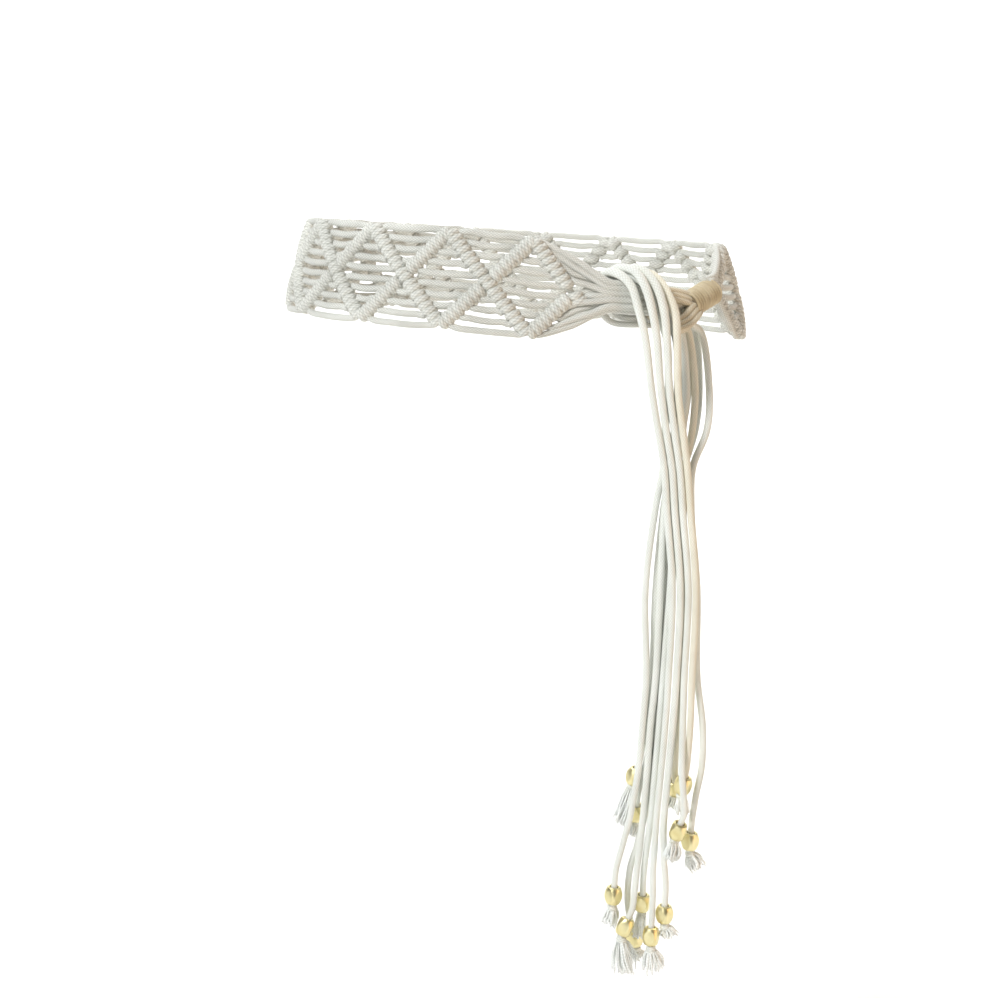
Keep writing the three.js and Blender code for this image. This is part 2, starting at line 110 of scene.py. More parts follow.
def sweep(name, routes, material, sides=CORD_SIDES):
    """One piece of cords, each swept along its own route of (x, y, z, radius) in metres."""
    curve = bpy.data.curves.new(name, "CURVE")
    curve.dimensions = "3D"
    curve.bevel_depth = 1.0
    curve.bevel_resolution = sides // 2 - 2
    for route in routes:
        spline = curve.splines.new("POLY")
        spline.points.add(len(route) - 1)
        spline.points.foreach_set("co", [v for p in route for v in (p[0], p[1], p[2], 1.0)])
        spline.points.foreach_set("radius", [p[3] for p in route])
    swept = bpy.data.objects.new(name, curve)
    bpy.context.collection.objects.link(swept)
    mesh = bpy.data.meshes.new_from_object(swept.evaluated_get(bpy.context.evaluated_depsgraph_get()))
    bpy.data.objects.remove(swept)
    along = []
    for route in routes:
        steps = np.linalg.norm(np.diff(np.array([p[:3] for p in route]), axis=0), axis=1)
        along.extend(np.concatenate([[0], np.cumsum(steps)]) + STITCH_SHIFT * len(along))
    corner = np.empty(len(mesh.loops), int)
    mesh.loops.foreach_get("vertex_index", corner)
    # the faces that close the tube reach on to its seam instead of back to its first side
    around = (corner % sides).reshape(-1, 4)
    around = np.where((around.max(1) - around.min(1) > 1)[:, None] & (around == 0), sides, around)
    uv = np.stack([around.ravel() / sides, np.array(along)[corner // sides]], 1)
    mesh.uv_layers[0].data.foreach_set("uv", uv.ravel())
    shape = bmesh.new()
    shape.from_mesh(mesh)
    bmesh.ops.holes_fill(shape, edges=[e for e in shape.edges if e.is_boundary], sides=0)
    bmesh.ops.recalc_face_normals(shape, faces=shape.faces)
    for face in shape.faces:
        face.smooth = len(face.verts) == 4
    shape.to_mesh(mesh)
    shape.free()
    mesh.materials.clear()
    mesh.materials.append(material)
    piece = bpy.data.objects.new(name, mesh)
    bpy.context.collection.objects.link(piece)
    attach(piece, "root")
    return piece


def colour(code):
    """An sRGB hex value as linear RGBA."""
    parts = [int(code[i : i + 2], 16) / 255 for i in (1, 3, 5)]
    return (*[c / 12.92 if c <= 0.04045 else ((c + 0.055) / 1.055) ** 2.4 for c in parts], 1.0)


def node(tree, kind, inputs=(), **settings):
    """A node with its settings, and its inputs set to values or linked to sockets."""
    made = tree.nodes.new(kind)
    for name, value in settings.items():
        setattr(made, name, value)
    for place, value in dict(inputs).items():
        if isinstance(value, bpy.types.NodeSocket):
            tree.links.new(value, made.inputs[place])
        else:
            made.inputs[place].default_value = value
    return made


def braided_cotton(name, light, dark):
    """Cotton braided from sixteen plies, matt and a little fuzzy: small plump stitches in two slants
    round the cord, pale on top and painted darker between them as shade, with soft patches of cream."""
    ply = 8  # of each slant round the cord
    stitch = 0.0024  # along the cord
    material = bpy.data.materials.new(name)
    material.use_nodes = True
    tree = material.node_tree
    shader = tree.nodes["Principled BSDF"]

    def maths(operation, *values):
        return node(tree, "ShaderNodeMath", enumerate(values), operation=operation).outputs[0]

    place = node(tree, "ShaderNodeTexCoord")
    parts = node(tree, "ShaderNodeSeparateXYZ", {0: place.outputs["UV"]})
    around = maths("MULTIPLY", parts.outputs[0], ply)
    along = maths("DIVIDE", parts.outputs[1], stitch)
    right, left = maths("ADD", along, around), maths("SUBTRACT", along, around)
    humps = [maths("SINE", maths("MULTIPLY", maths("FRACT", slant), math.pi)) for slant in (right, left)]
    cells = maths("ADD", maths("FLOOR", right), maths("FLOOR", left))
    over = maths("ABSOLUTE", maths("MODULO", cells, 2.0))
    ridge = [maths("MULTIPLY", maths("POWER", a, 0.5), maths("MULTIPLY_ADD", b, 0.4, 0.6))
             for a, b in (humps, humps[::-1])]
    weave = node(tree, "ShaderNodeMix", {0: over, 2: ridge[0], 3: ridge[1]}).outputs[0]
    # fibres every 0.7 mm, coarser than real ones so that they show, and patches 26 mm across
    spot = place.outputs["Object"]
    fibre = node(tree, "ShaderNodeTexNoise", {"Vector": spot, "Scale": 1400.0, "Detail": 3.0})
    patch = node(tree, "ShaderNodeTexNoise", {"Vector": spot, "Scale": 38.0, "Detail": 2.0})
    height = maths("MULTIPLY_ADD", fibre.outputs[0], 0.35, weave)
    # painted shade: the colour is darker where the stitches and fibres dip and paler on their tops; the
    # patches are tone that differs at random
    lit = maths("MULTIPLY_ADD", patch.outputs[0], 0.5, maths("MULTIPLY_ADD", height, 0.75, -0.15))
    tint = node(tree, "ShaderNodeMix", {0: lit, 6: colour(dark), 7: colour(light)}, data_type="RGBA")
    bump = node(tree, "ShaderNodeBump", {"Height": height, "Strength": 0.55, "Distance": 0.0005})
    tree.links.new(tint.outputs[2], shader.inputs["Base Color"])
    tree.links.new(bump.outputs[0], shader.inputs["Normal"])
    shader.inputs["Roughness"].default_value = 0.92
    shader.inputs["Specular IOR Level"].default_value = 0.25
    shader.inputs["Sheen Weight"].default_value = 0.25
    shader.inputs["Sheen Roughness"].default_value = 0.6
    return material


# bleached, and a cream version whose warm tint is painted shade, for the warm shade that falls on two of
# the tails
bright_cotton = braided_cotton("bright braided cotton", "#F8FAF4", "#C6C7B8")
warm_shade_cotton = braided_cotton("braided cotton with painted warm shade", "#F6F2E3", "#CFC7AA")
# darker than the tails, and darker in the gaps between its plies: painted shade, for the shade that falls
# in and between the band's knots
band_shade_cotton = braided_cotton("band cotton with painted shade", "#EAEAE2", "#88867B")
# darker and warmer where the belt is tied: painted warm shade on the end loop
loop_shade_cotton = braided_cotton("cream cotton with painted shade", "#E6DCC4", "#9C8C6C")
# pressed together under the wrap, and seen only between its turns; painted dark, for the shade between the
# turns
shaded_cotton = braided_cotton("cream cotton under its wrapping", "#94846A", "#5E523E")

# The tails
# The twelve free ends of the cord, hanging straight down from the tie in three layers. Each is knotted
# under its bead. Six come over the tie in arcs, and six drop behind the lower side of the end loop.
# heights down a tail, and how far forward it hangs there in each of its layers
HEIGHTS = (-34, -70, -97, -121, -148, -202, -263, -298, -327)
FRONT = (-116, -117.5, -117.5, -117.5, -117.5, -117.5, -117.5, -117.5)
MIDDLE = (-110.5, -112.2, -112.2, -112.2, -112.2, -112.2, -112.2, -112.2, -112.2)
LEFT_MIDDLE = (-100.8, -106.3, -110.5, -112.2, -112.2, -112.2)
LEFT_BACK = (-95.3, -100.5, -105, -107, -107, -107)
BEAD_LENGTH = 12.4
TAIL = 4.9  # its thickness, as the weave stands out a little
PRESSED = 0.5  # wider, in the arcs over the tie
SLIMMER = 0.35  # towards the bead
# In each row: over holds s, z and out on the waist, x and y are the places at HEIGHTS, and free goes on
# from there to the bead's middle. Then come the tassel's tip and width, how far the bead is turned, in
# degrees, and the tail's length in metres.
TAILS = [
    dict(over=[(100.5, -6.4, -2.8), (106.6, -15, -3.4)],
         x=(104.9, 108, 104.5, 101, 97, 92.5, 91, 87, 84.5), y=(-82, -89.5, *LEFT_BACK, -99),
         free=[], bead=(81.4, -97.5, -339), tip=(69.5, -109, -370), width=9, turned=20, length=0.34),
    dict(over=[(106.3, -6.4, -2.8), (113, -15, -3.5)],
         x=(111.3, 113.7, 109.5, 106, 102, 98, 96, 93, 88), y=(-76.3, -87, *LEFT_BACK, -107),
         free=[(84.5, -107, -339), (83.3, -101.5, -351)],
         bead=(82.5, -97.5, -365.5), tip=(79.5, -97, -383), width=9, turned=70, length=0.37),
    dict(over=[(108.3, -6.4, 2.2), (113.7, -15, 1.6)],
         x=(113.6, 117.5, 115.3, 110.3, 109.3, 110, 109.5, 108, 107.5),
         y=(-81.5, -92.5, *LEFT_MIDDLE, -110),
         free=[], bead=(109, -101.2, -345.5), tip=(107.5, -100.5, -362), width=10, turned=30, length=0.34),
    dict(over=[(82.2, 10.9, -2.6), (83, 13.8, 1.4), (86, 15.6, 6.2), (89, 11.8, 13.2), (91, 3.3, 20.4),
               (93.5, -7.5, 23.3)],
         x=(102.2, 103.5, 107.3, 110.6, 113.2, 118, 116.8, 116.3, 114.6), y=(*FRONT, -116.6),
         free=[], bead=(112.8, -115, -338.7), tip=(112.5, -114, -360), width=9, turned=55, length=0.37),
    dict(over=[(72, 10.6, -2.6), (73.1, 15.8, 1.4), (75, 18.8, 6.2), (79.2, 17, 12.2), (83.4, 7.4, 20.9),
               (86.2, -7.1, 23.5)],
         x=(95.5, 98, 101.8, 105.6, 108, 113, 111.6, 111.3, 110.7), y=(*FRONT, -123.5),
         free=[(112, -124.5, -343), (113, -123.5, -356)],
         bead=(109.3, -120.5, -369.5), tip=(104, -127, -389), width=12, turned=70, length=0.41),
    dict(over=[(113.8, -6.4, 2.1), (120.3, -15.6, 1.7)],
         x=(122.5, 127.5, 125, 115.6, 114.6, 119.5, 121, 125.5, 125.5),
         y=(-76.5, -88, *LEFT_MIDDLE, -112.2),
         free=[(122.5, -111, -346.5), (120, -110.5, -366)],
         bead=(119, -110.5, -381), tip=(124.5, -110.5, -402), width=12, turned=45, length=0.39),
    dict(over=[(66.8, 10.5, -2.6), (67.3, 13.9, 0.2), (70, 14, 5.9), (76, 11.4, 13.3), (80.6, 4, 16.6),
               (83.8, -6, 16.8)],
         x=(95.6, 97.5, 96, 95, 90.6, 85, 86.5, 84.5, 82.5), y=MIDDLE,
         free=[(77, -112.2, -364), (72.5, -112.2, -383), (68, -112.2, -402)],
         bead=(66.5, -112.5, -420), tip=(65, -104.5, -446), width=12, turned=45, length=0.46),
    dict(over=[(102.5, -6.4, 2.2), (107.8, -15, 1.8)],
         x=(108.3, 111.5, 109, 105.2, 103.5, 101.5, 98, 96, 94), y=(-86.5, -94.5, *LEFT_MIDDLE, -112.2),
         free=[(91.5, -112.2, -364), (89.5, -111.5, -383), (87.7, -109, -404)],
         bead=(87.2, -106, -428.5), tip=(84.5, -112.5, -453), width=8, turned=75, length=0.42),
    dict(over=[(61.5, 10.4, -2.6), (62.9, 16.7, 1), (65.8, 18.3, 5.5), (71.8, 16.8, 14.1), (75.4, 9, 20.2),
               (78.9, -5.9, 22.5)],
         x=(89, 92.4, 96.5, 100.5, 102.8, 107.6, 106.3, 104.5, 102.5), y=(*FRONT, -117.5),
         free=[(99.8, -117.5, -368), (100.5, -117.5, -392), (102, -117.5, -410)],
         bead=(101.5, -117.5, -431.5), tip=(105, -117.5, -449), width=12, turned=45, length=0.48),
    dict(over=[(77, 10.5, -2.6), (77.6, 13.2, 0.2), (80, 13.2, 6.2), (83.6, 10.3, 12.6), (87.3, 3.4, 16.1),
               (89.4, -6, 17.1)],
         x=(101.7, 103.5, 102, 100.2, 96.8, 95, 93, 90, 88.5), y=MIDDLE,
         free=[(86, -112.2, -364), (84.5, -112.2, -383), (82.5, -112.2, -402), (79.5, -114.5, -430)],
         bead=(74.5, -117, -441.5), tip=(77, -117, -477), width=18, turned=70, length=0.47),
    dict(over=[(112.3, -6.4, -3.2), (120.2, -15.6, -4)],
         x=(118.8, 121.5, 118, 111, 107, 103.2, 101.5, 98, 93), y=(-71, -83, *LEFT_BACK, -107),
         free=[(88.5, -107, -359.5), (83, -107, -385.5), (78.5, -104, -404.5), (77.5, -101.5, -432)],
         bead=(82.5, -101.5, -457), tip=(85.5, -101.5, -473), width=10, turned=50, length=0.46),
    dict(over=[(55.8, 10.6, -2.6), (57, 14.4, 1.2), (59.7, 15.3, 5.4), (64.8, 13.2, 11), (69.5, 7, 15),
               (72.9, -6.4, 16.8)],
         x=(81.5, 86.5, 91.3, 95.5, 97.6, 102.4, 101, 99.4, 97.4), y=(*FRONT, -117.5),
         free=[(94.8, -117.5, -362), (94, -117.5, -381), (93.2, -117.5, -400), (93.2, -118.5, -421)],
         bead=(92, -122, -445.7), tip=(95, -121, -472), width=15, turned=70, length=0.48),
]
# these tails take the cream version: painted warm shade
WARM_SHADE_TAILS = (3, 4)
TAIL_SIDES = 12
TAIL_STEP = 3  # between the points along a tail
tails = []
for number, tail in enumerate(TAILS, 1):
    route = [on_waist(*p) for p in tail["over"]]
    route += [Vector(p) * MM for p in zip(tail["x"], tail["y"], HEIGHTS)]
    route += [Vector(p) * MM for p in tail["free"]]
    middle = Vector(tail["bead"]) * MM
    down = (middle - route[-1]).normalized()
    # straight through the bead, from a little above it to its lower face
    route += [middle + down * BEAD_LENGTH * MM * k for k in (-0.7, 0, 0.5)]
    arc = len(tail["over"]) if len(tail["over"]) > 2 else 0
    wide = [TAIL / 2 + PRESSED * math.sin(math.pi * (i + 1) / (arc + 2)) * (i <= arc)
            - SLIMMER * (i / (len(route) - 1)) ** 2 for i in range(len(route))]
    centre = smooth([(*p, r * MM) for p, r in zip(route, wide)], TAIL_STEP * MM)
    cotton = warm_shade_cotton if number in WARM_SHADE_TAILS else bright_cotton
    piece = sweep(f"tail_cord_{number:02d}", [centre], cotton, TAIL_SIDES)
    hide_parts(f"tail_{number:02d}")
    tails.append(dict(tail, piece=piece, centre=[tuple(p[:3]) for p in centre], down=down, middle=middle))

# The beads
# Small hollow barrels of thin gold-toned metal with four flats pressed in their sides, one threaded on
# the end of each tail above its knot.
BEAD_WIDTH, BEAD_END, BEAD_HOLE = 12.5, 8.8, 5.8
FLAT_FROM_AXIS = 5.0
EDGE = 0.6  # the rounding of its rims
BEAD_SIDES = 40

# brushed and plated: it mirrors the light softly, with fine scratches along the bead about 0.4 mm apart
# and dull patches about 7 mm across
gold = bpy.data.materials.new("satin gold-toned metal")
gold.use_nodes = True
tree = gold.node_tree
place = node(tree, "ShaderNodeTexCoord")
scratch_place = node(tree, "ShaderNodeMapping", {"Vector": place.outputs["UV"], "Scale": (1.0, 0.08, 1.0)})
scratches = node(tree, "ShaderNodeTexNoise",
                 {"Vector": scratch_place.outputs[0], "Scale": 2400.0, "Detail": 2.0})
broad = node(tree, "ShaderNodeTexNoise", {"Vector": place.outputs["Object"], "Scale": 150.0, "Detail": 1.0})
rough = node(tree, "ShaderNodeMapRange", {0: broad.outputs[0], 1: 0.3, 2: 0.7, 3: 0.3, 4: 0.44})
tint = node(tree, "ShaderNodeMix", {0: broad.outputs[0], 6: colour("#DCCC8C"), 7: colour("#FCF5CA")},
            data_type="RGBA")
bump = node(tree, "ShaderNodeBump", {"Height": scratches.outputs[0], "Strength": 0.2, "Distance": 0.0001})
shader = tree.nodes["Principled BSDF"]
tree.links.new(tint.outputs[2], shader.inputs["Base Color"])
tree.links.new(rough.outputs[0], shader.inputs["Roughness"])
tree.links.new(bump.outputs[0], shader.inputs["Normal"])
shader.inputs["Metallic"].default_value = 1.0


def bead(number, middle, down, turned):
    """One bead, its hole along the way that its tail runs through it."""
    shape = bmesh.new()
    half = BEAD_LENGTH / 2
    mouth = [(BEAD_HOLE / 2, half - EDGE), (BEAD_HOLE / 2 + EDGE, half), (BEAD_END / 2 - EDGE, half)]
    barrel = [(BEAD_END / 2 + 0.3, half - EDGE), (BEAD_WIDTH / 2 - 0.9, half * 0.66),
              (BEAD_WIDTH / 2 - 0.2, half * 0.34)]
    upper = mouth + barrel
    profile = [(r, -z) for r, z in upper] + [(BEAD_WIDTH / 2, 0)] + upper[::-1]
    verts = [shape.verts.new((r, 0, z)) for r, z in profile]
    edges = [shape.edges.new((a, b)) for a, b in zip(verts, verts[1:] + verts[:1])]
    bmesh.ops.spin(shape, geom=verts + edges, axis=(0, 0, 1), cent=(0, 0, 0), angle=2 * math.pi,
                   steps=BEAD_SIDES, use_merge=True)
    for quarter in range(4):
        normal = Matrix.Rotation(math.radians(90 * quarter), 3, "Z") @ Vector((1, 0, 0))
        bmesh.ops.bisect_plane(shape, geom=shape.verts[:] + shape.edges[:] + shape.faces[:],
                               plane_co=normal * FLAT_FROM_AXIS, plane_no=normal, clear_outer=True)
        rim = [e for e in shape.edges if e.is_boundary]
        bmesh.ops.holes_fill(shape, edges=rim, sides=0)
    bmesh.ops.recalc_face_normals(shape, faces=shape.faces)
    scratch_map = shape.loops.layers.uv.new("scratches")
    for face in shape.faces:
        face.smooth = True
        for loop in face.loops:
            x, y, z = loop.vert.co
            loop[scratch_map].uv = (math.atan2(y, x) * BEAD_WIDTH / 2 * MM, z * MM)
    stand = Vector((0, 0, -1)).rotation_difference(down).to_matrix().to_4x4()
    bmesh.ops.transform(shape, verts=shape.verts, matrix=Matrix.Translation(middle) @ stand
                        @ Matrix.Rotation(math.radians(turned), 4, "Z") @ Matrix.Scale(MM, 4))
    mesh = bpy.data.meshes.new(f"gold_bead_{number:02d}")
    shape.to_mesh(mesh)
    shape.free()
    # sharp only where the flats and the rims meet the round sides
    mesh.set_sharp_from_angle(angle=math.radians(28))
    mesh.materials.append(gold)
    piece = bpy.data.objects.new(mesh.name, mesh)
    bpy.context.collection.objects.link(piece)
    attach(piece, "root")
    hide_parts(f"bead_{number:02d}")
    return piece


# The knots and tassels
# Under its bead each cord has one small overhand knot, and its end is combed out into its plies and
# their fibres.
KNOT_BELOW, TASSEL_BELOW = 1.3, 2.6  # the knot under its bead, and the tassel's top under that
STRANDS, PLIES = 72, 44  # of all the strands, those that are thick plies
PLY, FRAYED = 0.74, 0.2  # their radii
TASSEL_TOP = 2.9
STRAND_STEPS = 6
yarn = bpy.data.materials.new("combed cotton yarn")
yarn.use_nodes = True
tree = yarn.node_tree
place = node(tree, "ShaderNodeTexCoord")
# the twist of each ply shows as a ripple every 2 mm along it: painted shade, a little darker in the grooves
# of the twist
twist = node(tree, "ShaderNodeTexWave", {"Vector": place.outputs["UV"], "Scale": 160.0, "Distortion": 2.0},
             bands_direction="Y")
tint = node(tree, "ShaderNodeMix", {0: twist.outputs[1], 6: colour("#F0F3EE"), 7: colour("#FEFFFC")},
            data_type="RGBA")
shader = tree.nodes["Principled BSDF"]
tree.links.new(tint.outputs[2], shader.inputs["Base Color"])
shader.inputs["Roughness"].default_value = 0.95
shader.inputs["Specular IOR Level"].default_value = 0.2
shader.inputs["Sheen Weight"].default_value = 0.35


def tassel(number, top, tip, width):
    """The combed end: thick plies that spread and bend, and thin threads that stray from them."""
    chance = random.Random(number)
    down = tip - top
    side = down.cross(Vector((0, 1, 0))).normalized()
    depth = side.cross(down).normalized()
    routes = []
    for strand in range(STRANDS):
        thick = strand < PLIES
        angle, reach = chance.uniform(0, 2 * math.pi), chance.random() ** 0.6
        drop = chance.uniform(0.7, 1.0) if thick else chance.uniform(0.6, 1.04)
        stray = 1.0 if thick else 1.25
        sway = [chance.uniform(-0.5, 0.5) for _ in range(4)]
        route = []
        for step in range(STRAND_STEPS + 1):
            t = step / STRAND_STEPS
            flare = TASSEL_TOP + (width * 0.5 - TASSEL_TOP) * min(1, t / 0.6) ** 0.7
            off = reach * flare * stray
            curl = math.sin(5 * t + 6 * sway[2]) * t * (0.8 if thick else 1.4)
            x = math.cos(angle) * off + (sway[0] + curl) * t * 1.4
            y = math.sin(angle) * off + (sway[1] + curl * sway[3]) * t * 1.4
            point = top + down * t * drop + (side * x + depth * y) * MM
            radius = (PLY if thick else FRAYED) * (1 - 0.4 * t**3)
            route.append((*point, radius * MM))
        routes.append(route)
    piece = sweep(f"combed_tassel_{number:02d}", routes, yarn, 4)
    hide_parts(f"tassel_{number:02d}")
    return piece


def knot(number, top, down):
    """A small overhand knot round the cord's own axis, with its end in the tassel."""
    stand = Vector((0, 0, -1)).rotation_difference(down).to_matrix()
    # each is turned further than the one before, so that no two look alike
    spin = Matrix.Rotation(number * 1.9, 3, "Z")
    route = [(0, 0, 2.2, 2.2), (0, 0, 0.6, 2.1)]
    steps = 13
    for step in range(steps + 1):
        angle = 0.5 + step * 2.3 * math.pi / steps
        route.append((1.6 * math.cos(angle), 1.6 * math.sin(angle), -0.3 - 0.2 * step, 2.1))
    route += [(0, 0, -4.2, 2.1), (0, 0, -5.6, 1.8)]
    placed = [(*(top + stand @ (spin @ Vector(p[:3])) * MM), p[3] * MM) for p in smooth(route, 0.9)]
    return sweep(f"overhand_knot_{number:02d}", [placed], bright_cotton)


for number, tail in enumerate(tails, 1):
    top = tail["middle"] + tail["down"] * (BEAD_LENGTH / 2 + KNOT_BELOW) * MM
    tip = Vector(tail["tip"]) * MM
    hang = (tip - top).normalized()
    on_tail = [
        bead(number, tail["middle"], tail["down"], tail["turned"]),
        knot(number, top, hang),
        tassel(number, top + hang * TASSEL_BELOW * MM, tip, tail["width"]),
    ]

# The band
# Thirteen diamonds knotted in eight working cords over leader cords. Each bar is a row of double half
# hitches: every working cord goes twice round the leader inside the bar and runs on to the next one.
MOTIFS, MOTIF = 13, 56
LAST_CROSSING = 36
FIRST_CROSSING = LAST_CROSSING - MOTIFS * MOTIF
APEX = 28.5
LEVEL = 6.8  # from one working cord to the next, between the bars
HITCH_PITCH = 4.4  # between the two turns of a hitch on a rising bar
PAIRED = 4.2  # and on a falling one
DRIFT = 2.0  # of those turns along the bar
RING = 2.35  # from the leader's axis to that of the cord round it
KNOTS_FROM_CROSSING = (6.4, 12.6, 18.8, 24.9)
CORNER = 0.995  # 1 would be a sharp corner
STRETCHED, WRAPPED = 2.25, 2.95  # the cord's radius, pulled straight and pressed wide round a leader
CLOSE, OPEN = 1.4, 3.0  # how far the cord comes in beside its hitch
SHORT_GAP = 8  # between two hitches
chance = random.Random(4)


def leader_height(s):
    """The height of the leader that passes each crossing upwards first."""
    phase = math.pi * (s - FIRST_CROSSING) / MOTIF
    return APEX * math.asin(CORNER * math.sin(phase)) / math.asin(CORNER)


def hitch(s, z, slope, reach):
    """Two turns of a cord round a leader that runs through s, z with that slope. On a rising leader
    the cord first goes behind it; on a falling one it comes over the front and up."""
    # u runs along the leader and v across it, back to where the cord comes from
    length = math.hypot(1, slope)
    us, uz = 1 / length, slope / length
    vs, vz = -abs(uz), us if slope > 0 else -us
    half = (HITCH_PITCH if slope > 0 else PAIRED) / 2
    local = []

    def wind(first, last, start, end, steps, deeper=0.0):
        """Part of a turn, from one angle to another round the leader and from start to end along it."""
        for i in range(steps):
            t = i / steps
            angle = math.radians(first + (last - first) * t)
            r = RING + deeper * math.sin(math.pi * t)
            local.append((start + (end - start) * t, r * math.cos(angle), r * math.sin(angle), WRAPPED))

    if slope > 0:
        local.append((0, RING + reach, -0.6, STRETCHED))
        wind(-25, -180, 0, -half, 4)
        wind(-180, -360, -half - 0.2, -half + 0.2, 6)
        wind(-360, -540, -half, half, 6, 1.0)
        wind(-540, -720, half - 0.2, half + 0.2, 6)
        wind(-720, -885, half, 0, 5)
        local.append((0, -RING - reach, -0.8, STRETCHED))
    else:
        slip = DRIFT / 2
        local.append((half - 0.4, RING + reach, -0.3, STRETCHED))
        wind(10, 180, half - slip, half + slip, 6)
        wind(180, 360, half + slip, -half - slip, 6, 0.6)
        wind(360, 540, -half - slip, -half + slip, 6)
        wind(540, 600, -half + slip, -0.4, 2)
        local.append((0.2, -RING - 0.8 * reach, -2.0, STRETCHED))
    return [(s + a * us + b * vs, z + a * uz + b * vz, n, r) for a, b, n, r in local]


def filler(start, end, level, droop):
    """The stretch of a cord between two bars, a little slack."""
    gap = end - start
    if gap < SHORT_GAP:
        return [((start + end) / 2, level - 1.2, -0.2, STRETCHED)]
    return [(start + gap * t, level - droop * math.sin(math.pi * t) + chance.uniform(-0.25, 0.25), -0.4,
             STRETCHED) for t in (0.12, 0.35, 0.62, 0.86)]


def working_cord(side, number):
    """A working cord's way through the thirteen diamonds, as s, z, out and radius."""
    inner, outer = side * LEVEL * (number - 0.5), side * LEVEL * (number + 0.5)
    offset = KNOTS_FROM_CROSSING[number - 1]
    route = []
    for motif in range(MOTIFS):
        crossing = FIRST_CROSSING + MOTIF * motif
        for at in (crossing + offset, crossing + MOTIF - offset):
            z = side * abs(leader_height(at))
            slope = side * (abs(leader_height(at + 0.5)) - abs(leader_height(at - 0.5)))
            tight = number == 4 if at < crossing + MOTIF / 2 else number == 1
            before = number == 1 if at < crossing + MOTIF / 2 else number == 4
            turns = hitch(at, z, slope, CLOSE if before or tight else OPEN)
            if route:
                inside = at > crossing + MOTIF / 2
                route += filler(route[-1][0], turns[0][0], inner if inside else outer, 0.9)
            route += turns
    return route


def laid(route, step=2.2):
    """A route of s, z, out and radius, smoothed and put on the waist in metres."""
    return [(*on_waist(s, z, out), r * MM) for s, z, out, r in smooth(route, step)]


# The fans, the tie and its return
# The cords spread from the gathering wrap to the first diamond. They close in from the last one and go
# side by side across the end loop and into its eye. Half of them come back behind, under and up again,
# and the other half drop from the eye.
START_FROM = -704  # inside the wrap, one turn of the waist back
# along the middle of the cords in the tie: s, z, out, and the height and thickness of them all
BUNDLE = [(58.3, 0.3, 5.2, 22, 10.3), (68, 0, 5.6, 21.5, 10.5), (78, -0.5, 6.4, 20.5, 10.5),
          (87, -2, 7.6, 17, 10.5), (94, -4.5, 7.9, 12.5, 10)]
# side and number of a working cord: its heights at s 36, 47 and 58, out at 58, and the tail it becomes
END_FAN = {
    (1, 4): ((21.5, 15, 8.8), 6.8, 9), (1, 3): ((17, 11, 5.2), 7.0, 12),
    (1, 2): ((12.5, 9.5, 7.2), 3.0, 4), (1, 1): ((8, 5.5, 2.0), 6.8, 7),
    (-1, 1): ((-6.1, -4.2, -2.4), 6.9, 10), (-1, 2): ((-11.5, -8, -4.8), 3.0, 8),
    (-1, 3): ((-16.2, -11.5, -6.4), 6.8, 5), (-1, 4): ((-20.3, -14, -9.0), 4.2, 3),
}
LEADERS_END = [((2.6, 2.6, 3.4), 3.2, 1), ((0.6, 1.2, 0.0), 2.6, 2), ((-1.2, -0.4, -0.4), 6.0, 6),
               ((-2.6, -1.6, -3.6), 2.6, 11)]
RETURNING = {12: 0, 9: 1, 7: 2, 5: 3, 10: 4, 4: 5}  # these tails, by their place in the return from below
LOWEST_RETURN, RETURN_PITCH = -17.8, 4.1
LAYERS_MEET = 5  # between the front and the back layer of the bundle
# the cord's radius in the fans, where others press on it, where it has room, and at the eye's fold
FANNED, SQUEEZED, LOOSE, FOLDED = 2.1, 2.1, 2.15, 2.0


def through_tie(heights, out, tail_number):
    """From the last crossing across the tie to where the tail begins."""
    up, off = heights[2] - BUNDLE[0][1], out - BUNDLE[0][2]
    route = [(47, heights[1], 2.5 + (out - LAYERS_MEET) * 0.9, FANNED), (58, heights[2], out, STRETCHED)]
    for s, z, depth, height, thickness in BUNDLE[1:]:
        route.append((s, z + up * height / BUNDLE[0][3], depth + off * thickness / BUNDLE[0][4], STRETCHED))
    start = TAILS[tail_number - 1]["over"][0]
    if tail_number in RETURNING:
        layer = RETURNING[tail_number]
        low = LOWEST_RETURN + RETURN_PITCH * layer
        route += [(100, -7, 3.0, FOLDED), (101, -11, -0.5, FOLDED),
                  (96, min(low, -13 + layer), -3.4, FOLDED), (86, low, -2.8, SQUEEZED),
                  (start[0] + 8, low + 0.6, -2.6, SQUEEZED), (start[0] + 1.6, low + 5.5, -2.6, LOOSE),
                  (start[0], max(low + 11, 3.0), -2.6, CORD / 2), (*start, CORD / 2)]
    else:
        route += [(98, -5.5, 5.5, SQUEEZED), (start[0] - 2.2, -4.6, (start[2] + 5) / 2, SQUEEZED),
                  (*start, CORD / 2)]
    return route


routes = {1: [], -1: []}
for side in (1, -1):
    for number in range(1, 5):
        low = side * 1.5 * number + 2.5
        level = side * LEVEL * (number + 0.5)
        first = FIRST_CROSSING + KNOTS_FROM_CROSSING[number - 1]
        route = [(START_FROM, low, 6 if number % 2 else 2.5, 1.9), (START_FROM + 8, low * 1.25, 4.5, 2.0),
                 ((START_FROM + first) / 2 + 2, (low + level) / 2, 2.5, STRETCHED)]
        route += working_cord(side, number)
        heights, out, tail_number = END_FAN[side, number]
        route.append((LAST_CROSSING, heights[0], 0.6 + (out - LAYERS_MEET) * 0.4, FANNED))
        route += through_tie(heights, out, tail_number)
        routes[side].append(laid(route))
upper = sweep("upper_working_cords", routes[1], band_shade_cotton)
lower = sweep("lower_working_cords", routes[-1], band_shade_cotton)
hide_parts(*[f"band_diamond_{n:02d}" for n in range(1, MOTIFS + 1)])
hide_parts("end_fan", "tie_bundle", "tie_return", "start_fan")

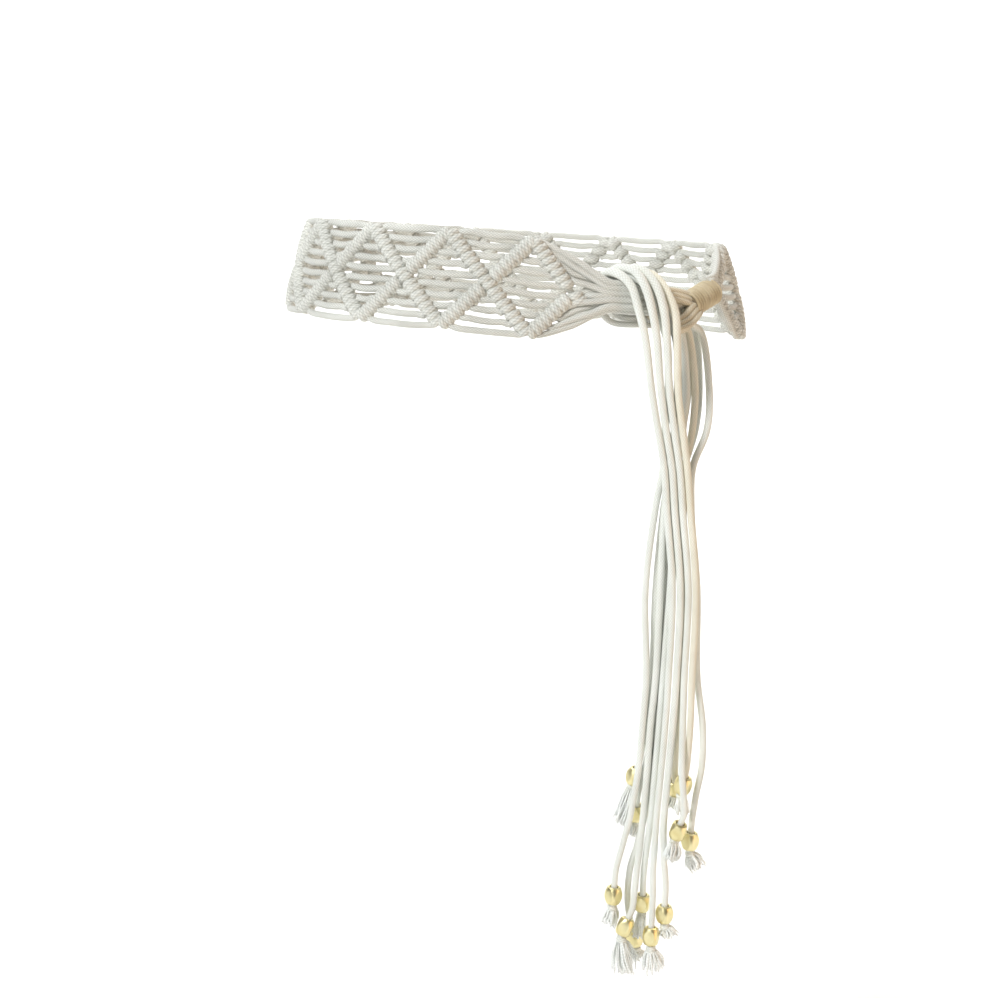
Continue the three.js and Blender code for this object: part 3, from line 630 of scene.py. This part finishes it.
# Leaders
# The two pairs of cords that the hitches are tied over. They cross between the diamonds, where the
# rising pair is hitched round the falling one, and show at the diamonds' corners.
LAST_HITCH_PAST = 2.8  # beyond its crossing
leader_routes = []
for side in (1, -1):
    route = [(START_FROM, side * 2 + 2, 5, FANNED), (START_FROM + 8, side * 1.5 + 1, 4, FANNED)]
    for motif in range(MOTIFS + 1):
        crossing = FIRST_CROSSING + MOTIF * motif
        rising = side * (-1) ** motif > 0
        if rising and motif > 0:
            # hitched round the falling leader, whose slope is the other way; the last one ends the band
            past = LAST_HITCH_PAST if motif == MOTIFS else 0
            route += hitch(crossing + past, -past, -APEX / (MOTIF / 2), 2.0)
        elif motif > 0:
            route.append((crossing, 0, -1.0, SQUEEZED))
        if motif < MOTIFS:
            for t in (0.2, 0.34, 0.44, 0.5, 0.56, 0.66, 0.8):
                s = crossing + MOTIF * t
                route.append((s, side * leader_height(s), 0, LOOSE))
    ends = LEADERS_END[:2] if side * (-1) ** MOTIFS > 0 else LEADERS_END[2:]
    heights, out, tail_number = ends[0]
    route.append((44, heights[0], -0.5, FANNED))
    leader_routes.append(laid(route + through_tie(heights, out, tail_number)))
    # the second cord of the pair comes out of the last crossing
    heights, out, tail_number = ends[1]
    second = [(LAST_CROSSING, heights[0] * 0.5, -1.5, 1.8), (41, heights[0], -0.8, FANNED)]
    leader_routes.append(laid(second + through_tie(heights, out, tail_number)))
sweep("leader_cords", leader_routes, band_shade_cotton)

# The end loop
# The folded middles of the cords. Three strands lie side by side in two layers, and they turn round an
# open eye at the left. LOOP holds s, z and out along their middle.
LOOP = [(124, -2, 5.5), (120.5, -1, 6), (110, 1.4, 5.5), (101, 2, 3), (94.5, -1, -0.6), (91, -7, -1.5),
        (93.5, -13.5, 1.5), (100, -17.8, 8.8), (109, -14.5, 10.5), (120.5, -6, 8), (124, -4, 6)]
STRAND_SPACING = 3.1
STRAND = 2.0  # its radius
ROLL = 0.9  # of the layers one way and then the other, as they turn round the eye
loop_routes = []
centre = [Vector(p[:3]) for p in smooth([(*p, 0) for p in LOOP], 4)]
away = Vector((0, 0, 1))
for layer in (-0.5, 0.5):
    for place_across in (-1, 0, 1):
        route = []
        for i, p in enumerate(centre):
            along = (centre[min(i + 1, len(centre) - 1)] - centre[max(i - 1, 0)]).normalized()
            across = along.cross(away).normalized()
            over = across.cross(along)
            t = i / (len(centre) - 1)
            roll = ROLL * math.sin(math.pi * t) * (1 if t > 0.5 else -1) * (0.6 if t < 0.5 else 1.0)
            a, b = place_across * STRAND_SPACING, layer * STRAND_SPACING
            turned = (a * math.cos(roll) - b * math.sin(roll), a * math.sin(roll) + b * math.cos(roll))
            route.append((*(p + across * turned[0] + over * turned[1]), STRAND))
        loop_routes.append(laid(route))
loop = sweep("end_loop_strands", loop_routes, loop_shade_cotton)
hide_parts("end_loop")

# The gathering wrap
# Thin cotton thread wound tightly round all the folded cords, turn beside turn, in a slight cone.
WRAP_ENDS = ((118, -3.6, 4.9, 9.0), (143, 5.8, 4.8, 9.25))  # s, z, out and radius of each
TURN_STEPS = 28
THREAD = 2.5  # from turn to turn, drawn coarser than the real 1.2 mm so that the turns show
THREAD_RADIUS = THREAD * 0.42  # with a groove from turn to turn
ends = [on_waist(s, z, out) for s, z, out, _ in WRAP_ENDS]
axis = ends[1] - ends[0]
turns = round(axis.length / MM / THREAD)
upright = axis.cross(Vector((0, 0, 1))).cross(axis).normalized()
level = axis.cross(upright).normalized()
thread_route = []
for step in range(turns * TURN_STEPS + 1):
    t = step / (turns * TURN_STEPS)
    angle = 2 * math.pi * t * turns
    bulge = 0.35 * math.sin(math.pi * t) + 0.12 * math.sin(9 * math.pi * t)
    radius = (WRAP_ENDS[0][3] + (WRAP_ENDS[1][3] - WRAP_ENDS[0][3]) * t + bulge - THREAD / 2) * MM
    point = ends[0] + axis * t + (upright * math.cos(angle) + level * math.sin(angle)) * radius
    thread_route.append((*point, THREAD_RADIUS * MM))
# two plies of smooth cotton twisted together every 4 mm, its colour painted darker and warmer as shade, in
# soft patches 9 mm across
thread = bpy.data.materials.new("twisted cotton thread")
thread.use_nodes = True
tree = thread.node_tree
place = node(tree, "ShaderNodeTexCoord")
patch = node(tree, "ShaderNodeTexNoise", {"Vector": place.outputs["Object"], "Scale": 110.0, "Detail": 1.0})
tint = node(tree, "ShaderNodeMix", {0: patch.outputs[0], 6: colour("#B5A27E"), 7: colour("#DDD0B2")},
            data_type="RGBA")
plies = node(tree, "ShaderNodeTexWave", {"Vector": place.outputs["UV"], "Scale": 80.0},
             bands_direction="DIAGONAL")
bump = node(tree, "ShaderNodeBump", {"Height": plies.outputs[1], "Strength": 0.3, "Distance": 0.0003})
shader = tree.nodes["Principled BSDF"]
tree.links.new(tint.outputs[2], shader.inputs["Base Color"])
tree.links.new(bump.outputs[0], shader.inputs["Normal"])
shader.inputs["Roughness"].default_value = 0.7
shader.inputs["Specular IOR Level"].default_value = 0.3
# the cords inside the wrap, as shares of its length and their radius together
CORE = ((-0.02, 5.5), (0.03, 7.3), (0.5, 7.6), (0.97, 7.4), (1.02, 5.5))
core = [(*(ends[0] + axis * t), r * MM) for t, r in CORE]
wrap = sweep("gathering_wrap_thread", [thread_route], thread, 6)
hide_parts("gathering_wrap")
sweep("gathered_cords", [core], shaded_cotton, 24)

# Floor and light
# A pale floor that turns up into a backdrop far behind, and soft light from the front and the left.
FLOOR, BACKDROP = -0.62, 2.5  # their height and distance
# rolled on, with no gloss
pale = bpy.data.materials.new("plain matt white paint")
pale.use_nodes = True
pale.node_tree.nodes["Principled BSDF"].inputs["Base Color"].default_value = colour("#F4F4F2")
pale.node_tree.nodes["Principled BSDF"].inputs["Roughness"].default_value = 0.9
shape = bmesh.new()
line = [shape.verts.new((-6, y, z)) for y, z in ((-4, FLOOR), (BACKDROP, FLOOR), (BACKDROP, 4))]
edges = [shape.edges.new(pair) for pair in zip(line, line[1:])]
made = bmesh.ops.extrude_edge_only(shape, edges=edges)
moved = [v for v in made["geom"] if isinstance(v, bmesh.types.BMVert)]
bmesh.ops.translate(shape, verts=moved, vec=(12, 0, 0))
corner = (BACKDROP, FLOOR)
fold = [e for e in shape.edges if all((v.co.yz - Vector(corner)).length < 1e-4 for v in e.verts)]
bmesh.ops.bevel(shape, geom=fold, offset=1.5, offset_type="OFFSET", segments=16, profile=0.5,
                affect="EDGES", material=-1)
for face in shape.faces:
    face.smooth = True
mesh = bpy.data.meshes.new("floor")
shape.to_mesh(mesh)
shape.free()
mesh.materials.append(pale)
floor = bpy.data.objects.new("floor", mesh)
bpy.context.collection.objects.link(floor)

world = bpy.data.worlds.new("studio")
world.use_nodes = True
world.node_tree.nodes["Background"].inputs["Color"].default_value = colour("#F3F6FA")
world.node_tree.nodes["Background"].inputs["Strength"].default_value = 0.17
bpy.context.scene.world = world


def lamp(name, place, aim, size, power, code):
    """A square soft light at a place, aimed at a point."""
    light = bpy.data.lights.new(name, "AREA")
    light.size = size
    light.energy = power
    light.color = colour(code)[:3]
    lit = bpy.data.objects.new(name, light)
    lit.location = place
    lit.rotation_euler = (Vector(aim) - Vector(place)).to_track_quat("-Z", "Y").to_euler()
    bpy.context.collection.objects.link(lit)


# one from above, a wide one lower down, light thrown back from the right, and one for the backdrop alone
lamp("key", (-1.3, -1.5, 1.5), (0, 0, -0.1), 0.5, 46, "#FBFDFF")
lamp("window", (-1.3, -2.2, 0.1), (0, 0, -0.2), 1.6, 9, "#FBFDFF")
lamp("warm bounce", (1.3, -0.7, -0.3), (0.08, -0.08, -0.1), 1.2, 8.5, "#FFD2A0")
lamp("backdrop", (0.36, 1.1, 2.6), (0.36, 3.1, 0.8), 2.5, 118, "#FFFFFF")
bpy.context.scene.view_settings.view_transform = "Standard"
